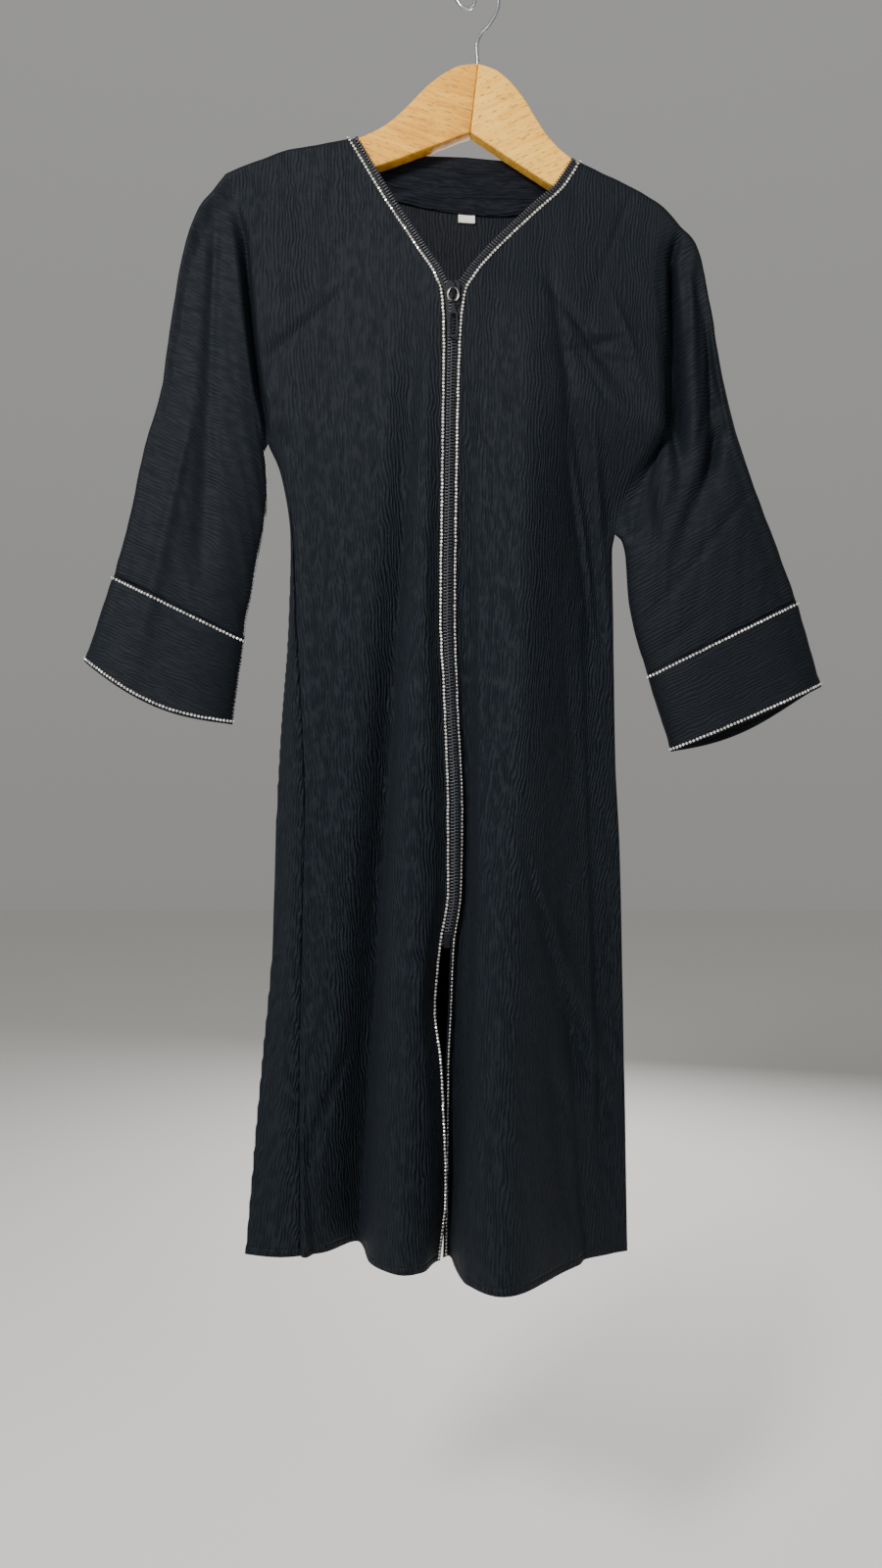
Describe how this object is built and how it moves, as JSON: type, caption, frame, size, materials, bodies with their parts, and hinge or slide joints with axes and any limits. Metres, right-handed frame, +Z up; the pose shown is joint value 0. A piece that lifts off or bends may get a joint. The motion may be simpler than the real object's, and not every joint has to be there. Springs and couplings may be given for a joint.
{
  "type": "child's zip-front tunic on a hanger",
  "caption": "Long zip-front tunic in black crinkle crepe with wide cut-in-one sleeves, cuffs and bead-chain trim, hanging on a flat wooden hanger.",
  "frame": {"origin": "highest point inside the hanger's hook, where a rail carries it", "axes": "+Z up, front towards -Y, +X towards the wearer's left"},
  "size_m": [0.6048, 0.1258, 1.0637],
  "materials": {
    "black_crinkle_crepe": "matte crinkled weave",
    "black_crepe_facing": "matte gathered weave",
    "white_label_ribbon": "woven ribbon",
    "black_zip_tape": "woven tape",
    "black_nickel_slider": "black nickel plate",
    "silver_ring": "polished plate",
    "lacquered_beech": "satin lacquer",
    "plated_steel_wire": "bright plate"
  },
  "bodies": {
    "garment": {"back_chest": "black_crinkle_crepe", "back_skirt": "black_crinkle_crepe", "back_sleeve_left": "black_crinkle_crepe", "back_sleeve_right": "black_crinkle_crepe", "cuff_left": "black_crinkle_crepe", "cuff_right": "black_crinkle_crepe", "front_left_chest": "black_crinkle_crepe", "front_left_skirt": "black_crinkle_crepe", "front_left_sleeve": "black_crinkle_crepe", "front_right_chest": "black_crinkle_crepe", "front_right_skirt": "black_crinkle_crepe", "front_right_sleeve": "black_crinkle_crepe", "hanger_arm_left": "lacquered_beech", "hanger_arm_right": "lacquered_beech", "hanger_hook": "plated_steel_wire", "neck_facing": "black_crepe_facing", "neck_label": "white_label_ribbon", "zip_box": "black_nickel_slider", "zip_slider": "black_nickel_slider", "zip_tape_left": "black_zip_tape", "zip_tape_right": "black_zip_tape"},
    "pull_ring": {"zip_ring": "silver_ring"},
    "pull_tab": {"zip_tab": "black_nickel_slider"}
  },
  "joints": [
    {"name": "ring_swing", "type": "hinge", "parent": "garment", "child": "pull_ring", "pos_m": [-0.0193, -0.0256, -0.2804], "axis": [-1, 0, 0], "range_deg": [0, 150]},
    {"name": "tab_swing", "type": "hinge", "parent": "pull_ring", "child": "pull_tab", "pos_m": [-0.0193, -0.0256, -0.2908], "axis": [-1, 0, 0], "range_deg": [0, 75]}
  ]
}
